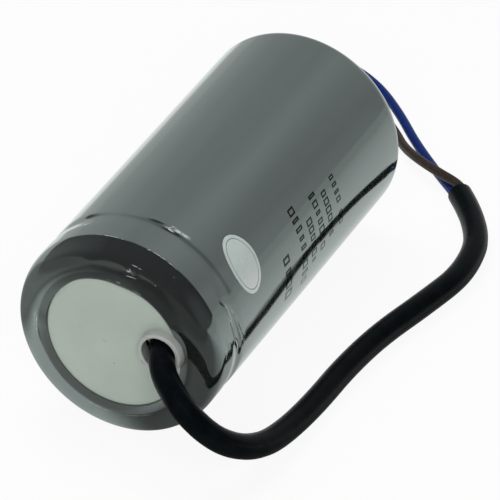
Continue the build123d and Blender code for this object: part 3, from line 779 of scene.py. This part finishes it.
def floor_level(n):
    """How bright the floor is in reflections: bright beyond the object, and dim in front of it
    but for its left and a slanted patch. A painted shadow of the lead lies beside it as a darker
    band. All places are in metres of the frame."""
    x, y, _ = n.axes()
    lead_x = n.stops(n.span(y, *LEAD_ENDS), place_stops(*LEAD_ENDS, LEAD_LINE))
    beside = n.math("ADD", n.math("SUBTRACT", x, lead_x),
                    n.math("MULTIPLY", n.noise(120, 2), 0.003))
    off_lead_shadow = n.math("ABSOLUTE", n.math("SUBTRACT", beside, LEAD_SHADOW_AT))
    ends = n.math("MULTIPLY", n.ease(y, -0.040, -0.030), n.ease(y, 0.078, 0.068))
    # The painted shadow of the lead darkens the floor's reflections in a band beside it.
    lead_shadow = n.math("MULTIPLY", n.ease(off_lead_shadow, *LEAD_SHADOW_HALF), ends)
    beyond = n.math("MULTIPLY", n.span(lead_shadow, 0, 1, 1, LEAD_SHADOW_LEVEL), n.stops(
        n.span(x, -BEYOND_REACH, BEYOND_REACH),
        place_stops(-BEYOND_REACH, BEYOND_REACH, BEYOND_LEVELS)))

    left = n.math("ADD", n.ease(x, -0.030, -0.065, 0.05, 0.28), n.ease(x, -0.01, 0.015, 0, 0.07))
    left = n.math("MULTIPLY", left, n.ease(y, -0.14, -0.10, 0.5, 1))
    slanted = n.math("SUBTRACT", x, n.math("MULTIPLY", n.math("ADD", y, 0.05), 0.6))
    patch = n.math("MULTIPLY", n.ease(x, -0.056, -0.036), n.ease(slanted, 0.009, -0.006))
    patch = n.math("MULTIPLY", patch, n.ease(y, -0.104, -0.080, 0, 0.62))
    ahead = n.math("ADD", left, patch)

    share = n.ease(n.math("ADD", y, n.ease(x, -0.01, 0.02, 0, 0.028)), -0.022, 0.035)
    return n.math("ADD", n.math("MULTIPLY", beyond, share),
                  n.math("MULTIPLY", ahead, n.math("SUBTRACT", 1.0, share)))


def make_floor():
    """White paper, whose brightness in reflections changes by place."""
    low, high = -FLOOR_HALF, FLOOR_HALF
    floor = new_mesh("floor", [(low, low, 0), (high, low, 0), (high, high, 0), (low, high, 0)],
                     [(0, 1, 2, 3)], False)
    n = Nodes("floor_white")
    n.set(Base_Color=n.ramp(n.noise(30, 2), *PAPER), Roughness=0.9, Specular_IOR_Level=0.1)
    path = n.add("ShaderNodeLightPath")
    white = n.add("ShaderNodeEmission", Color=(1, 1, 1, 1), Strength=1.0)
    seen = n.mix(n.math("MULTIPLY", path.outputs["Is Camera Ray"], SEEN_WHITE),
                 n.shader.outputs[0], white.outputs[0])
    glow = n.add("ShaderNodeEmission", Color=FLOOR_GLOW, Strength=floor_level(n))
    glossy = n.math("MAXIMUM", path.outputs["Is Glossy Ray"], path.outputs["Is Transmission Ray"])
    n.put(n.tree.nodes["Material Output"].inputs["Surface"],
          n.mix(glossy, seen, glow.outputs[0]))
    wear(floor, n.material)


# The world's level by the direction's x, beyond the object and on the camera's side, and the
# direction's y at which one goes over into the other.
WORLD_BEYOND = ((-0.75, 0.55), (-0.56, 0.42), (-0.36, 0.38), (-0.10, 0.37), (0.18, 0.42),
                (0.43, 0.34), (0.61, 0.29), (0.68, 0.35))
WORLD_AHEAD = ((-1.0, 0.18), (-0.80, 0.10), (-0.50, 0.035), (0.75, 0.03), (0.95, 0.08))
WORLD_EDGE = (0.655, 0.695)
WORLD_TINT = (0.95, 1, 0.99)


def make_world():
    """A pale studio beyond the object, brighter on the left, and a dark one on the camera's
    side and overhead. The camera itself sees plain white."""
    world = bpy.data.worlds.new("studio")
    bpy.context.scene.world = world
    world.use_nodes = True
    tree = world.node_tree
    links = tree.links.new
    place = tree.nodes.new("ShaderNodeTexCoord").outputs["Generated"]
    split = tree.nodes.new("ShaderNodeSeparateXYZ")
    links(place, split.inputs[0])

    def span(value, low, high, out_low, out_high, how="SMOOTHSTEP"):
        node = tree.nodes.new("ShaderNodeMapRange")
        node.interpolation_type = how
        links(value, node.inputs[0])
        for i, entry in enumerate((low, high, out_low, out_high), 1):
            node.inputs[i].default_value = entry
        return node.outputs[0]

    def grey(value, stops):
        node = tree.nodes.new("ShaderNodeValToRGB")
        for _ in stops[2:]:
            node.color_ramp.elements.new(0.5)
        for element, (x, level) in zip(node.color_ramp.elements, stops):
            element.position = x / 2 + 0.5
            element.color = (*(level * tint for tint in WORLD_TINT), 1)
        links(span(value, -1, 1, 0, 1, "LINEAR"), node.inputs[0])
        return node.outputs[0]

    beyond = grey(split.outputs[0], WORLD_BEYOND)
    ahead = grey(split.outputs[0], WORLD_AHEAD)
    mix = tree.nodes.new("ShaderNodeMix")
    mix.data_type = "RGBA"
    links(span(split.outputs[1], *WORLD_EDGE, 0, 1), mix.inputs[0])
    links(ahead, mix.inputs[6])
    links(beyond, mix.inputs[7])
    background = tree.nodes["Background"]
    links(mix.outputs[2], background.inputs[0])

    path = tree.nodes.new("ShaderNodeLightPath")
    white = tree.nodes.new("ShaderNodeBackground")
    white.inputs[0].default_value = (1, 1, 1, 1)
    mix = tree.nodes.new("ShaderNodeMixShader")
    links(path.outputs["Is Camera Ray"], mix.inputs[0])
    links(background.outputs[0], mix.inputs[1])
    links(white.outputs[0], mix.inputs[2])
    links(mix.outputs[0], tree.nodes["World Output"].inputs[0])


def make_lamp(name, place, size, watts):
    """A square lamp, aimed at the origin and not seen in reflections."""
    lamp = bpy.data.objects.new(name, bpy.data.lights.new(name, "AREA"))
    lamp.data.size = size
    lamp.data.energy = watts
    lamp.location = place
    lamp.rotation_euler = (-Vector(place)).to_track_quat("-Z", "Y").to_euler()
    lamp.visible_glossy = False
    bpy.context.scene.collection.objects.link(lamp)


make_floor()
make_world()
make_lamp("key", (-0.5, 0.3, 1.4), 1.0, 14)
make_lamp("fill", (0.5, -1.0, 0.8), 0.8, 8.2)
bpy.context.scene.view_settings.view_transform = "Standard"
